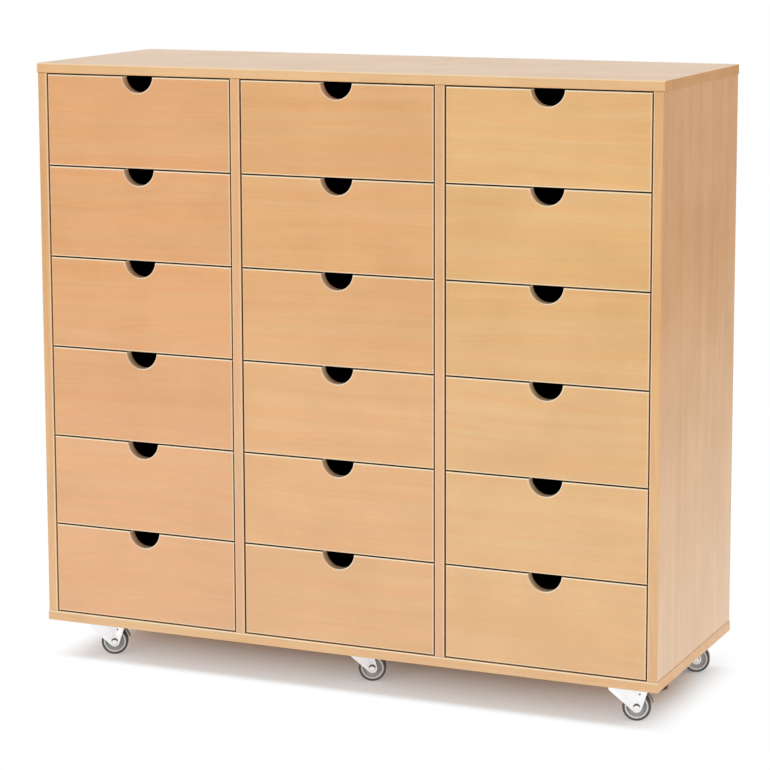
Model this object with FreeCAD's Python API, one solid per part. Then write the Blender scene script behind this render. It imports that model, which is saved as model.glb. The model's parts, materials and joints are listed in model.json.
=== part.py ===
import FreeCAD, Part
import math
import os

# A mobile drawer unit of beech-faced boards: eighteen inset drawers in three columns of six,
# each with a half-round finger notch in its top edge, on six swivel casters.
# The two front corner casters have brakes.
# Frame: origin on the floor below the middle of the cabinet, +X to the right, +Y to the back, +Z up.
# The drawers face -Y. Lengths are in millimetres and angles in degrees.

# Cabinet
cabinet_width = 1200.0          # over the edging of the top and bottom panels
cabinet_depth = 430.0
board_thickness = 18.0          # top, bottom, side panels and dividers
column_names = ("left", "middle", "right")
row_count = 6
edging_thickness = 2.0
edging_radius = 1.5

# Back panel, held in a groove in the top, the bottom and both sides
back_thickness = 8.0
back_setback = 10.0             # from the cabinet's rear edge to the panel's rear face
back_groove_depth = 8.0
back_groove_clearance = 0.15    # on each face of the panel
back_edge_clearance = 1.0       # between the panel's edge and the groove's bottom

# Drawer fronts
front_height = 165.5
front_thickness = 18.0
front_gap = 2.5                 # between fronts, and between a front and the boards around it
front_recess = 1.0              # behind the cabinet's front edges
front_edge_radius = 1.5
notch_radius = 31.0
notch_centre_rise = 2.0         # how far the notch's centre lies above the front's top edge

# Drawer boxes
side_gap = 5.0                  # between a drawer side and the upright beside it
side_thickness = 14.0
side_height = 130.0
side_lift = 10.0                # from the front's lower edge to the side's lower edge
side_rear_room = 8.0            # from the side's rear end to the back panel, drawer shut
tray_thickness = 5.0            # the drawer's bottom
tray_lift = 10.0                # from the side's lower edge to the tray's underside
tray_groove_depth = 6.0
tray_edge_clearance = 0.5
tray_face_clearance = 0.1
end_thickness = 12.0            # the drawer's back board
end_groove_depth = 4.0
end_setback = 14.0              # from the side's rear end to the back board's rear face
end_drop = 6.0                  # how far the back board's top edge lies below the sides' top edges
end_face_clearance = 0.1
end_edge_clearance = 0.3

# Runners: hardwood strips on the uprights, which lie in grooves in the drawer sides
runner_height = 16.0
runner_rear_room = 8.0          # from the strip's rear end to the back panel
runner_groove_depth = 7.0
runner_clearance = 0.3          # above and below the strip
runner_face_clearance = 0.5     # between the strip and the groove's bottom
runner_end_clearance = 0.4      # between the strip's front end and the groove's end, drawer shut
runner_centre_lift = 75.0       # from the front's lower edge to the strip's centre line
runner_setback = 25.0           # from the drawer front's rear face to the strip's front end
runner_screw_shares = (0.08, 0.92)

# Stop pegs: one on each drawer side and one on the upright, which meet when the drawer is fully out
side_hold = 100.0               # how much of a side's length stays behind a shut front, fully out
peg_diameter = 8.0
peg_end_clearance = 1.0         # between a peg's end and the face across the side gap
side_peg_depth = 6.0
upright_peg_depth = 8.0
peg_rise = 27.0                 # from the runner's centre line to the pegs' centre line
peg_rear_setback = 20.0         # from the drawer side's rear end to its peg
peg_meeting_clearance = 0.3

# Dowels
dowel_diameter = 8.0
dowel_length = 30.0
dowel_chamfer = 1.0
dowel_end_room = 1.0            # spare depth at each end of a dowel
dowel_depth_in_panel = 11.0     # how far a dowel reaches into the top or bottom panel
dowel_depth_in_front = 12.0     # how far a dowel reaches into a drawer front
upright_dowel_shares = (0.12, 0.5, 0.84)
side_dowel_shares = (0.24, 0.8)
bore_fit = 0.03                 # radial, round dowels, pegs and pins

# Wood screws, all alike
screw_length = 16.0
screw_diameter = 3.9
screw_tip_length = 3.0
screw_head_diameter = 7.5
screw_head_height = 2.4
screw_slot_length = 4.2
screw_slot_width = 0.9
screw_slot_depth = 1.2
screw_fit = 0.05                # radial, in the pilot holes
screw_pass_fit = 0.4            # radial, in the holes that a screw only passes through
counterbore_fit = 0.5           # radial, round a screw's head in a runner strip
counterbore_depth = 3.0
back_screw_shares = (0.08, 0.36, 0.64, 0.92)

# Casters: where they stand and how they are turned, trailing to the right and a little to the back
caster_height = 72.0
front_side_inset = 82.0         # from the cabinet's side to a front corner caster's swivel axis
front_end_inset = 58.0          # from the cabinet's front to a front corner caster's swivel axis
rear_side_inset = 74.0          # from the cabinet's side to a rear corner caster's swivel axis
rear_end_inset = 50.0           # from the cabinet's rear to a rear corner caster's swivel axis
middle_end_inset = 92.0         # from the cabinet's front or rear to a middle caster's swivel axis
caster_turns = {"front_left": 26.0, "front_middle": 22.0, "front_right": 18.0,
                "rear_left": 20.0, "rear_middle": 24.0, "rear_right": 17.0}
braked_casters = ("front_left", "front_right")

# Caster plates and kingpins
plate_size = 60.0
plate_thickness = 2.5
plate_corner_radius = 6.0
plate_hole_spacing = 44.0
race_diameter = 44.0
race_height = 3.2
swivel_clearance = 0.3
kingpin_diameter = 8.0
kingpin_head_diameter = 14.0
kingpin_head_height = 2.2
kingpin_clearance = 0.1

# Caster forks, measured from the swivel axis
trail = 24.0                    # to the wheel's axle
fork_sheet = 2.0
fork_inner_width = 22.0
crown_diameter = 46.0
fork_nose = 27.5                # to the leading edge
fork_nose_depth = 14.0          # how far the leading edge reaches down
plain_heel = 22.5               # to the trailing edge, where it meets the crown
braked_heel = 46.0
leg_end_radius = 9.0            # round the axle
leg_dimple_diameter = 13.0      # round the bolt's head, a little above its centre
leg_dimple_depth = 1.2
leg_dimple_rise = 1.0
leg_hole_diameter = 3.2         # the small round hole in each leg of a braked fork
leg_hole_offset = 5.4           # behind the axle
leg_hole_rise = 24.0            # above the axle

# Wheels and axle bolts
wheel_diameter = 50.0
tyre_width = 18.0
tyre_thickness = 4.0
tyre_shoulder = 2.5
rim_thickness = 3.2
rim_width = 16.6
web_width = 9.0
hub_diameter = 16.0
hub_width = 20.0
axle_diameter = 6.0
axle_clearance = 0.1
bolt_head_diameter = 9.0
bolt_head_height = 3.0
bolt_head_crown = 0.8
bolt_dimple_diameter = 3.0
bolt_dimple_depth = 0.8
nut_across_flats = 10.0
nut_sides = 6
nut_height = 4.5
bolt_end = 1.5                  # how far the bolt stands out of its nut

# Brake pedals, measured from the wheel's axle
pin_offset = 10.0
pin_rise = 33.0
pin_diameter = 3.2
pin_head_diameter = 6.0
pin_head_height = 1.0
pin_clearance = 0.1
barrel_diameter = 7.2
barrel_side_clearance = 0.8     # between the barrel and each of the fork's legs
pedal_sheet = 2.2
pedal_arm_width = 16.0
pedal_foot_width = 28.0
foot_start_offset = 31.0
foot_start_rise = 28.0
foot_end_offset = 53.0
foot_end_rise = 36.0
foot_lip_height = 6.0
shoe_clearance = 3.7            # between the shoe and the tyre, with the brake off
shoe_thickness = 1.8
shoe_width = 15.0
shoe_low_angle = 17.0           # round the axle, from the trailing direction
shoe_high_angle = 62.0

cut_overrun = 1.0               # how far a cutter runs past the face that it starts from
same_place = 0.001              # two lengths closer than this are the same
full_turn = 360.0

# Places that follow from the sizes above
column_count = len(column_names)
front_y = -cabinet_depth / 2
rear_y = cabinet_depth / 2
core_front_y = front_y + edging_thickness
core_rear_y = rear_y - edging_thickness
core_half_width = cabinet_width / 2 - edging_thickness
bottom_z = caster_height
floor_z = bottom_z + board_thickness
inner_height = row_count * front_height + (row_count + 1) * front_gap
ceiling_z = floor_z + inner_height
top_z = ceiling_z + board_thickness
column_width = (2 * core_half_width - (column_count + 1) * board_thickness) / column_count
column_pitch = column_width + board_thickness
front_width = column_width - 2 * front_gap
back_rear_y = rear_y - back_setback
back_front_y = back_rear_y - back_thickness
front_face_y = front_y + front_recess
front_back_y = front_face_y + front_thickness
side_rear_y = back_front_y - side_rear_room
side_length = side_rear_y - front_back_y
drawer_travel = side_length - side_hold
side_outer_x = column_width / 2 - side_gap
side_inner_x = side_outer_x - side_thickness
end_rear_y = side_rear_y - end_setback
end_front_y = end_rear_y - end_thickness
runner_thickness = side_gap + runner_groove_depth - runner_face_clearance
runner_front_y = front_back_y + runner_setback
runner_length = back_front_y - runner_rear_room - runner_front_y
runner_screw_seat = runner_thickness - counterbore_depth
side_peg_y = side_rear_y - peg_rear_setback
upright_peg_y = side_peg_y - drawer_travel - peg_diameter - peg_meeting_clearance
peg_reach = side_gap - peg_end_clearance
race_bottom_z = caster_height - plate_thickness - race_height
crown_top_z = race_bottom_z - swivel_clearance
crown_bottom_z = crown_top_z - fork_sheet
axle_z = wheel_diameter / 2
leg_outer_y = fork_inner_width / 2 + fork_sheet
pin_x = trail + pin_offset
pin_z = axle_z + pin_rise

X_AXIS = FreeCAD.Vector(1, 0, 0)
Y_AXIS = FreeCAD.Vector(0, 1, 0)
Z_AXIS = FreeCAD.Vector(0, 0, 1)


# General shapes

def vec(x, y, z):
    return FreeCAD.Vector(x, y, z)


def around(centre, size):
    """The two limits of a length laid about its centre."""
    return (centre - size / 2, centre + size / 2)


def block(xs, ys, zs):
    """A box between three pairs of limits."""
    low = vec(min(xs), min(ys), min(zs))
    return Part.makeBox(abs(xs[1] - xs[0]), abs(ys[1] - ys[0]), abs(zs[1] - zs[0]), low)


def rod(diameter, start, direction, length):
    return Part.makeCylinder(diameter / 2, length, start, direction)


def bore(diameter, mouth, direction, depth):
    """A cutter for a round hole of that depth, started a little outside its mouth."""
    return rod(diameter, mouth - direction * cut_overrun, direction, depth + cut_overrun)


def prism(edges, ys):
    """A solid of a closed outline in the XZ plane, between two Y limits."""
    face = Part.Face(Part.Wire(edges))
    face.translate(vec(0, ys[0], 0))
    return face.extrude(vec(0, ys[1] - ys[0], 0))


def polygon_edges(points):
    """Straight edges round (x, z) points."""
    corners = [vec(x, 0, z) for x, z in points]
    return [Part.makeLine(a, b) for a, b in zip(corners, corners[1:] + corners[:1])]


def turned(points, direction):
    """A solid turned about an axis through the origin, from (radius, along the axis) points."""
    across = X_AXIS if abs(direction.x) < abs(direction.y) + abs(direction.z) else Y_AXIS
    corners = [across * radius + direction * along for radius, along in points]
    face = Part.Face(Part.makePolygon(corners + corners[:1]))
    return face.revolve(vec(0, 0, 0), direction, full_turn)


def placed(shape, offset):
    copy = shape.copy()
    copy.translate(offset)
    return copy


def cut_by(solid, cutters):
    return solid.cut(Part.makeCompound(cutters)) if cutters else solid


def joined(solids):
    return solids[0].fuse(solids[1:]).removeSplitter()


def same(a, b):
    return abs(a - b) < same_place


def rounded_along(solid, radius, wanted):
    """Rounds the edges whose end points all pass a test."""
    edges = [edge for edge in solid.Edges if all(wanted(vertex.Point) for vertex in edge.Vertexes)]
    return solid.makeFillet(radius, edges)


def save(node, shapes):
    """Writes one node's solids, each kept apart, as one STEP file."""
    pieces = [solid for shape in shapes for solid in shape.Solids]
    for piece in pieces:
        if not piece.isValid() or piece.Volume <= 0:
            raise ValueError(node + " holds a solid that is not valid")
    whole = pieces[0] if len(pieces) == 1 else Part.makeCompound(pieces)
    whole.exportStep("parts/" + node + ".step")


# Places of uprights, columns and rows

def upright_left_x(index):
    """The left face of an upright: 0 is the left side panel, the last one is the right side panel."""
    return -core_half_width + index * column_pitch


def column_left_x(column):
    return upright_left_x(column) + board_thickness


def column_centre_x(column):
    return column_left_x(column) + column_width / 2


def row_base_z(row):
    """The lower edge of a row's drawer fronts: row 0 is the top one."""
    return floor_z + front_gap + (row_count - 1 - row) * (front_height + front_gap)


def is_side_panel(index):
    return index in (0, column_count)


# Fasteners

def make_dowel(direction):
    radius = dowel_diameter / 2
    points = [(0, 0), (radius - dowel_chamfer, 0), (radius, dowel_chamfer),
              (radius, dowel_length - dowel_chamfer), (radius - dowel_chamfer, dowel_length),
              (0, dowel_length)]
    return turned(points, direction)


def dowel_bore(mouth, direction, reach):
    return bore(dowel_diameter + 2 * bore_fit, mouth, direction, reach + dowel_end_room)


def make_screw(direction):
    """A pan-head wood screw with a cross slot. Its head's seat is at the origin."""
    shank = screw_diameter / 2
    head = screw_head_diameter / 2
    points = [(0, -screw_head_height), (head / 2, -screw_head_height), (head, -screw_head_height / 2),
              (head, 0), (shank, 0), (shank, screw_length - screw_tip_length), (0, screw_length)]
    side = X_AXIS if abs(direction.x) < abs(direction.y) + abs(direction.z) else Y_AXIS
    other = direction.cross(side)
    slots = []
    for along, across in ((side, other), (other, side)):
        corner = direction * -(screw_head_height + cut_overrun)
        corner = corner - along * (screw_slot_length / 2) - across * (screw_slot_width / 2)
        long_step = along * screw_slot_length
        wide_step = across * screw_slot_width
        outline = [corner, corner + long_step, corner + long_step + wide_step, corner + wide_step, corner]
        face = Part.Face(Part.makePolygon(outline))
        slots.append(face.extrude(direction * (screw_slot_depth + cut_overrun)))
    return cut_by(turned(points, direction), slots)


def pilot_bore(mouth, direction, reach):
    return bore(screw_diameter + 2 * screw_fit, mouth, direction, reach)


def pass_bore(mouth, direction, thickness):
    return bore(screw_diameter + 2 * screw_pass_fit, mouth, direction, thickness + cut_overrun)


def upright_dowel_places():
    """The (x, y) of the dowels in both ends of every upright."""
    length = back_front_y - core_front_y
    xs = [upright_left_x(index) + board_thickness / 2 for index in range(column_count + 1)]
    return [(x, core_front_y + share * length) for x in xs for share in upright_dowel_shares]


def carcase_dowels():
    low = make_dowel(Z_AXIS)
    high = make_dowel(-Z_AXIS)
    pins = []
    for x, y in upright_dowel_places():
        pins.append(placed(low, vec(x, y, floor_z - dowel_depth_in_panel)))
        pins.append(placed(high, vec(x, y, ceiling_z + dowel_depth_in_panel)))
    return pins


# Runner strips, their screws and the pegs above them

def runner_places():
    """For each strip: the X of the face that it is fixed to, its direction and its centre's Z."""
    places = []
    for column in range(column_count):
        for row in range(row_count):
            z = row_base_z(row) + runner_centre_lift
            places.append((column_left_x(column), X_AXIS, z))
            places.append((column_left_x(column) + column_width, -X_AXIS, z))
    return places


def runner_screw_ys():
    return [runner_front_y + share * runner_length for share in runner_screw_shares]


def runner_strips():
    strips = []
    for face_x, outward, z in runner_places():
        inner_x = face_x + outward.x * runner_thickness
        ys = (runner_front_y, runner_front_y + runner_length)
        strip = block((face_x, inner_x), ys, around(z, runner_height))
        cutters = []
        for y in runner_screw_ys():
            mouth = vec(inner_x, y, z)
            cutters.append(pass_bore(mouth, -outward, runner_thickness))
            head_room = screw_head_diameter + 2 * counterbore_fit
            cutters.append(bore(head_room, mouth, -outward, counterbore_depth))
        strips.append(cut_by(strip, cutters))
    return strips


def runner_screws():
    screws = []
    templates = {1: make_screw(-X_AXIS), -1: make_screw(X_AXIS)}
    for face_x, outward, z in runner_places():
        for y in runner_screw_ys():
            seat = vec(face_x + outward.x * runner_screw_seat, y, z)
            screws.append(placed(templates[round(outward.x)], seat))
    return screws


def upright_pegs():
    pegs = []
    for face_x, outward, z in runner_places():
        start = vec(face_x, upright_peg_y, z + peg_rise) - outward * upright_peg_depth
        pegs.append(rod(peg_diameter, start, outward, upright_peg_depth + peg_reach))
    return pegs


# Carcase boards

def edge_band(z_low):
    """The edging round the top or bottom panel: one band with rounded outer edges."""
    zs = (z_low, z_low + board_thickness)
    half = cabinet_width / 2
    outer = block((-half, half), (front_y, rear_y), zs)
    outer = outer.makeFillet(edging_radius, outer.Edges)
    overrun_zs = (zs[0] - cut_overrun, zs[1] + cut_overrun)
    inner = block((-core_half_width, core_half_width), (core_front_y, core_rear_y), overrun_zs)
    return outer.cut(inner)


def back_groove_ys():
    return (back_front_y - back_groove_clearance, back_rear_y + back_groove_clearance)


def flat_panel(z_low, inner_z, inward):
    """The core of the top or bottom panel, bored and grooved on its inner face."""
    zs = (z_low, z_low + board_thickness)
    panel = block((-core_half_width, core_half_width), (core_front_y, core_rear_y), zs)
    mouths = [vec(x, y, inner_z) for x, y in upright_dowel_places()]
    cutters = [dowel_bore(mouth, -inward, dowel_depth_in_panel) for mouth in mouths]
    half_groove = core_half_width - board_thickness + back_groove_depth
    groove_zs = (inner_z + inward.z * cut_overrun, inner_z - inward.z * back_groove_depth)
    cutters.append(block((-half_groove, half_groove), back_groove_ys(), groove_zs))
    return cut_by(panel, cutters)


def top_panel():
    return [flat_panel(ceiling_z, ceiling_z, -Z_AXIS), edge_band(ceiling_z)]


def bottom_panel():
    panel = flat_panel(bottom_z, floor_z, Z_AXIS)
    reach = screw_length - plate_thickness
    holes = [pilot_bore(vec(x, y, bottom_z), Z_AXIS, reach) for x, y in plate_screw_places()]
    return [cut_by(panel, holes), edge_band(bottom_z)]


def upright_bores(index):
    """The dowel, screw and peg holes of one upright."""
    left = upright_left_x(index)
    right = left + board_thickness
    cutters = []
    for x, y in upright_dowel_places():
        if left < x < right:
            reach = dowel_length - dowel_depth_in_panel
            cutters.append(dowel_bore(vec(x, y, floor_z), Z_AXIS, reach))
            cutters.append(dowel_bore(vec(x, y, ceiling_z), -Z_AXIS, reach))
    for face_x, outward, z in runner_places():
        if same(face_x, left) or same(face_x, right):
            reach = screw_length - runner_screw_seat
            cutters += [pilot_bore(vec(face_x, y, z), -outward, reach) for y in runner_screw_ys()]
            peg_mouth = vec(face_x, upright_peg_y, z + peg_rise)
            cutters.append(bore(peg_diameter + 2 * bore_fit, peg_mouth, -outward, upright_peg_depth))
    return cutters


def upright(index):
    """A side panel or divider, with its front edging. The dividers stop at the back panel."""
    left = upright_left_x(index)
    right = left + board_thickness
    rear = core_rear_y if is_side_panel(index) else back_front_y
    board = block((left, right), (core_front_y, rear), (floor_z, ceiling_z))
    cutters = upright_bores(index)
    groove_zs = (floor_z - cut_overrun, ceiling_z + cut_overrun)
    if index == 0:
        cutters.append(block((right + cut_overrun, right - back_groove_depth), back_groove_ys(), groove_zs))
    elif index == column_count:
        cutters.append(block((left - cut_overrun, left + back_groove_depth), back_groove_ys(), groove_zs))
    else:
        reach = screw_length - back_thickness
        centre_x = left + board_thickness / 2
        cutters += [pilot_bore(vec(centre_x, back_front_y, z), -Y_AXIS, reach) for z in back_screw_zs()]
    edging = [front_edging(left, right)]
    if is_side_panel(index):
        edging.append(block((left, right), (core_rear_y, rear_y), (floor_z, ceiling_z)))
    return [cut_by(board, cutters)] + edging


def front_edging(left, right):
    """The strip on an upright's front edge, with its two long front edges rounded."""
    strip = block((left, right), (front_y, core_front_y), (floor_z, ceiling_z))
    long_edges = []
    for edge in strip.Edges:
        ends = [vertex.Point for vertex in edge.Vertexes]
        if all(same(end.y, front_y) for end in ends) and same(ends[0].x, ends[1].x):
            long_edges.append(edge)
    return strip.makeFillet(edging_radius, long_edges)


def back_screw_zs():
    return [floor_z + share * inner_height for share in back_screw_shares]


def divider_centre_xs():
    return [upright_left_x(index) + board_thickness / 2 for index in range(1, column_count)]


def back_panel():
    reach = back_groove_depth - back_edge_clearance
    half_width = core_half_width - board_thickness + reach
    zs = (floor_z - reach, ceiling_z + reach)
    panel = block((-half_width, half_width), (back_front_y, back_rear_y), zs)
    holes = []
    for x in divider_centre_xs():
        holes += [pass_bore(vec(x, back_rear_y, z), -Y_AXIS, back_thickness) for z in back_screw_zs()]
    return [cut_by(panel, holes)]


def back_screws():
    screw = make_screw(-Y_AXIS)
    return [placed(screw, vec(x, back_rear_y, z)) for x in divider_centre_xs() for z in back_screw_zs()]


def plate_screws():
    screw = make_screw(Z_AXIS)
    return [placed(screw, vec(x, y, bottom_z - plate_thickness)) for x, y in plate_screw_places()]


# Drawers, modelled about the middle of a column with the front's lower edge at height 0

def side_dowel_zs():
    return [side_lift + share * side_height for share in side_dowel_shares]


def side_centre_xs():
    centre = side_inner_x + side_thickness / 2
    return (-centre, centre)


def tray_zs():
    return (side_lift + tray_lift, side_lift + tray_lift + tray_thickness)


def tray_groove_zs():
    low, high = tray_zs()
    return (low - tray_face_clearance, high + tray_face_clearance)


def drawer_front():
    """A front board with its notch, rounded all round its face and round the notch."""
    half = front_width / 2
    board = block((-half, half), (front_face_y, front_back_y), (0, front_height))
    notch_start = vec(0, front_face_y - cut_overrun, front_height + notch_centre_rise)
    notch = rod(2 * notch_radius, notch_start, Y_AXIS, front_thickness + 2 * cut_overrun)
    board = rounded_along(board.cut(notch), front_edge_radius, lambda point: same(point.y, front_face_y))
    cutters = []
    for x in side_centre_xs():
        for z in side_dowel_zs():
            cutters.append(dowel_bore(vec(x, front_back_y, z), -Y_AXIS, dowel_depth_in_front))
    tray_half = side_inner_x + tray_groove_depth
    groove_ys = (front_back_y + cut_overrun, front_back_y - tray_groove_depth)
    cutters.append(block((-tray_half, tray_half), groove_ys, tray_groove_zs()))
    return cut_by(board, cutters)


def drawer_side(sign):
    """A side board: grooved outside for the runner and inside for the tray and the back board."""
    inner = sign * side_inner_x
    outer = sign * side_outer_x
    side = block((inner, outer), (front_back_y, side_rear_y), (side_lift, side_lift + side_height))
    runner_zs = around(runner_centre_lift, runner_height + 2 * runner_clearance)
    groove_end_y = runner_front_y - runner_end_clearance
    cutters = [block((outer + sign * cut_overrun, outer - sign * runner_groove_depth),
                     (groove_end_y, side_rear_y + cut_overrun), runner_zs)]
    tray_xs = (inner - sign * cut_overrun, inner + sign * tray_groove_depth)
    tray_ys = (front_back_y - cut_overrun, end_rear_y + tray_face_clearance)
    cutters.append(block(tray_xs, tray_ys, tray_groove_zs()))
    end_ys = (end_front_y - end_face_clearance, end_rear_y + end_face_clearance)
    end_zs = (tray_zs()[0], side_lift + side_height + cut_overrun)
    cutters.append(block((inner - sign * cut_overrun, inner + sign * end_groove_depth), end_ys, end_zs))
    centre = (inner + outer) / 2
    reach = dowel_length - dowel_depth_in_front
    cutters += [dowel_bore(vec(centre, front_back_y, z), Y_AXIS, reach) for z in side_dowel_zs()]
    peg_mouth = vec(outer, side_peg_y, runner_centre_lift + peg_rise)
    cutters.append(bore(peg_diameter + 2 * bore_fit, peg_mouth, X_AXIS * -sign, side_peg_depth))
    return cut_by(side, cutters)


def drawer_tray():
    half = side_inner_x + tray_groove_depth - tray_edge_clearance
    front_edge = front_back_y - tray_groove_depth + tray_edge_clearance
    return block((-half, half), (front_edge, end_rear_y), tray_zs())


def drawer_end():
    half = side_inner_x + end_groove_depth - end_edge_clearance
    zs = (tray_zs()[1], side_lift + side_height - end_drop)
    return block((-half, half), (end_front_y, end_rear_y), zs)


def drawer_dowels():
    pin = make_dowel(Y_AXIS)
    start_y = front_back_y - dowel_depth_in_front
    return [placed(pin, vec(x, start_y, z)) for x in side_centre_xs() for z in side_dowel_zs()]


def drawer_pegs():
    pegs = []
    for sign in (-1, 1):
        start = vec(sign * (side_outer_x - side_peg_depth), side_peg_y, runner_centre_lift + peg_rise)
        pegs.append(rod(peg_diameter, start, X_AXIS * sign, side_peg_depth + peg_reach))
    return pegs


def drawer_box():
    boards = [drawer_side(-1), drawer_side(1), drawer_tray(), drawer_end()]
    return boards + drawer_dowels() + drawer_pegs()


# Casters, modelled about their swivel axis and trailing towards +X

def caster_places():
    """The (x, y) of each caster's swivel axis."""
    ends = {"front": (-1, front_side_inset, front_end_inset), "rear": (1, rear_side_inset, rear_end_inset)}
    places = {}
    for end, (sign, side_inset, end_inset) in ends.items():
        corner_x = cabinet_width / 2 - side_inset
        for side, x in (("left", -corner_x), ("middle", 0), ("right", corner_x)):
            inset = middle_end_inset if side == "middle" else end_inset
            places[end + "_" + side] = (x, sign * (cabinet_depth / 2 - inset))
    return places


def plate_screw_places():
    offsets = around(0, plate_hole_spacing)
    return [(x + dx, y + dy) for x, y in caster_places().values() for dx in offsets for dy in offsets]


def set_caster(shape, name):
    """Turns a shape modelled about the swivel axis and sets it at a caster's place."""
    x, y = caster_places()[name]
    copy = shape.copy()
    copy.rotate(vec(0, 0, 0), Z_AXIS, caster_turns[name])
    copy.translate(vec(x, y, 0))
    return copy


def caster_plate():
    """A square plate with its ball race below it, bored for four screws and the kingpin."""
    square = around(0, plate_size)
    plate = block(square, square, (caster_height - plate_thickness, caster_height))
    upright_edges = [edge for edge in plate.Edges if same(edge.Vertexes[0].X, edge.Vertexes[1].X)
                     and same(edge.Vertexes[0].Y, edge.Vertexes[1].Y)]
    plate = plate.makeFillet(plate_corner_radius, upright_edges)
    race = rod(race_diameter, vec(0, 0, race_bottom_z), Z_AXIS, race_height)
    cutters = [bore(kingpin_diameter + 2 * bore_fit, vec(0, 0, caster_height), -Z_AXIS,
                    plate_thickness + race_height + cut_overrun)]
    for dx in around(0, plate_hole_spacing):
        for dy in around(0, plate_hole_spacing):
            mouth = vec(dx, dy, caster_height - plate_thickness)
            cutters.append(pass_bore(mouth, Z_AXIS, plate_thickness))
    return cut_by(joined([plate, race]), cutters)


def kingpin():
    """The rivet that the fork hangs on: its head is below the crown."""
    radius = kingpin_diameter / 2
    head_radius = kingpin_head_diameter / 2
    head_top = crown_bottom_z - swivel_clearance
    head_bottom = head_top - kingpin_head_height
    head_edge = head_bottom + kingpin_head_height / 2
    points = [(0, head_bottom), (head_radius / 2, head_bottom), (head_radius, head_edge),
              (head_radius, head_top), (radius, head_top), (radius, caster_height), (0, caster_height)]
    return turned(points, Z_AXIS)


def caster_plates():
    shapes = []
    for x, y in caster_places().values():
        shapes.append(placed(caster_plate(), vec(x, y, 0)))
        shapes.append(placed(kingpin(), vec(x, y, 0)))
    return shapes


def tangent_angle(corner_x, corner_z, side):
    """The angle round the axle where a line from a corner touches the leg's round end."""
    dx = corner_x - trail
    dz = corner_z - axle_z
    return math.atan2(dz, dx) + side * math.acos(leg_end_radius / math.hypot(dx, dz))


def end_point(angle):
    return vec(trail + leg_end_radius * math.cos(angle), 0, axle_z + leg_end_radius * math.sin(angle))


def fork_leg(heel, ys):
    """A triangular leg from the crown down to a round end about the axle."""
    nose_z = crown_top_z - fork_nose_depth
    lead = tangent_angle(-fork_nose, nose_z, 1)
    follow = tangent_angle(heel, crown_bottom_z, -1) + 2 * math.pi
    top_lead = vec(-fork_nose, 0, crown_top_z)
    low_lead = vec(-fork_nose, 0, nose_z)
    low_heel = vec(heel, 0, crown_bottom_z)
    top_heel = vec(heel, 0, crown_top_z)
    round_end = Part.Arc(end_point(lead), end_point((lead + follow) / 2), end_point(follow)).toShape()
    edges = [Part.makeLine(top_lead, low_lead), Part.makeLine(low_lead, end_point(lead)), round_end,
             Part.makeLine(end_point(follow), low_heel), Part.makeLine(low_heel, top_heel),
             Part.makeLine(top_heel, top_lead)]
    return prism(edges, ys)


def fork_body(is_braked):
    """The folded fork: a round crown over the race and two legs, with the axle's holes and dimples."""
    heel = braked_heel if is_braked else plain_heel
    inner = fork_inner_width / 2
    crown = rod(crown_diameter, vec(0, 0, crown_bottom_z), Z_AXIS, fork_sheet)
    bridge = block((-fork_nose, heel), (-leg_outer_y, leg_outer_y), (crown_bottom_z, crown_top_z))
    legs = [fork_leg(heel, (-leg_outer_y, -inner)), fork_leg(heel, (inner, leg_outer_y))]
    fork = joined([crown, bridge] + legs)
    span = 2 * leg_outer_y + cut_overrun
    cutters = [bore(kingpin_diameter + 2 * kingpin_clearance, vec(0, 0, crown_top_z), -Z_AXIS,
                    fork_sheet + cut_overrun)]
    cutters.append(bore(axle_diameter + 2 * bore_fit, vec(trail, -leg_outer_y, axle_z), Y_AXIS, span))
    for sign in (-1, 1):
        mouth = vec(trail, sign * leg_outer_y, axle_z + leg_dimple_rise)
        cutters.append(bore(leg_dimple_diameter, mouth, Y_AXIS * -sign, leg_dimple_depth))
    if is_braked:
        cutters.append(bore(pin_diameter + 2 * bore_fit, vec(pin_x, -leg_outer_y, pin_z), Y_AXIS, span))
        hole = vec(trail + leg_hole_offset, -leg_outer_y, axle_z + leg_hole_rise)
        cutters.append(bore(leg_hole_diameter, hole, Y_AXIS, span))
    return cut_by(fork, cutters)


def axle_bolt():
    """The bolt with its domed head in the near leg's dimple, set along +Y."""
    seat = -leg_outer_y + leg_dimple_depth
    far_end = leg_outer_y - leg_dimple_depth + nut_height + bolt_end
    radius = axle_diameter / 2
    head = bolt_head_diameter / 2
    head_y = seat - bolt_head_height
    dimple = bolt_dimple_diameter / 2
    points = [(0, head_y + bolt_dimple_depth), (dimple, head_y + bolt_dimple_depth), (dimple, head_y),
              (head - bolt_head_crown, head_y), (head, head_y + bolt_head_crown), (head, seat),
              (radius, seat), (radius, far_end), (0, far_end)]
    return placed(turned(points, Y_AXIS), vec(trail, 0, axle_z))


def axle_nut():
    """A six-sided nut in the far leg's dimple."""
    low = leg_outer_y - leg_dimple_depth
    step = 2 * math.pi / nut_sides
    reach = nut_across_flats / 2 / math.cos(step / 2)
    angles = [step * corner for corner in range(nut_sides)]
    points = [(trail + reach * math.cos(angle), axle_z + reach * math.sin(angle)) for angle in angles]
    nut = prism(polygon_edges(points), (low, low + nut_height))
    hole = bore(axle_diameter + 2 * bore_fit, vec(trail, low, axle_z), Y_AXIS, nut_height + cut_overrun)
    return nut.cut(hole)


def brake_pin():
    """The pin across both legs that the pedal turns on, with a head at each end."""
    radius = pin_diameter / 2
    head = pin_head_diameter / 2
    end = leg_outer_y + pin_head_height
    points = [(0, -end), (head, -end), (head, -leg_outer_y), (radius, -leg_outer_y), (radius, leg_outer_y),
              (head, leg_outer_y), (head, end), (0, end)]
    return placed(turned(points, Y_AXIS), vec(pin_x, 0, pin_z))


def caster_fork(name):
    is_braked = name in braked_casters
    shapes = [fork_body(is_braked), axle_bolt(), axle_nut()]
    if is_braked:
        shapes.append(brake_pin())
    return [set_caster(shape, name) for shape in shapes]


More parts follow.
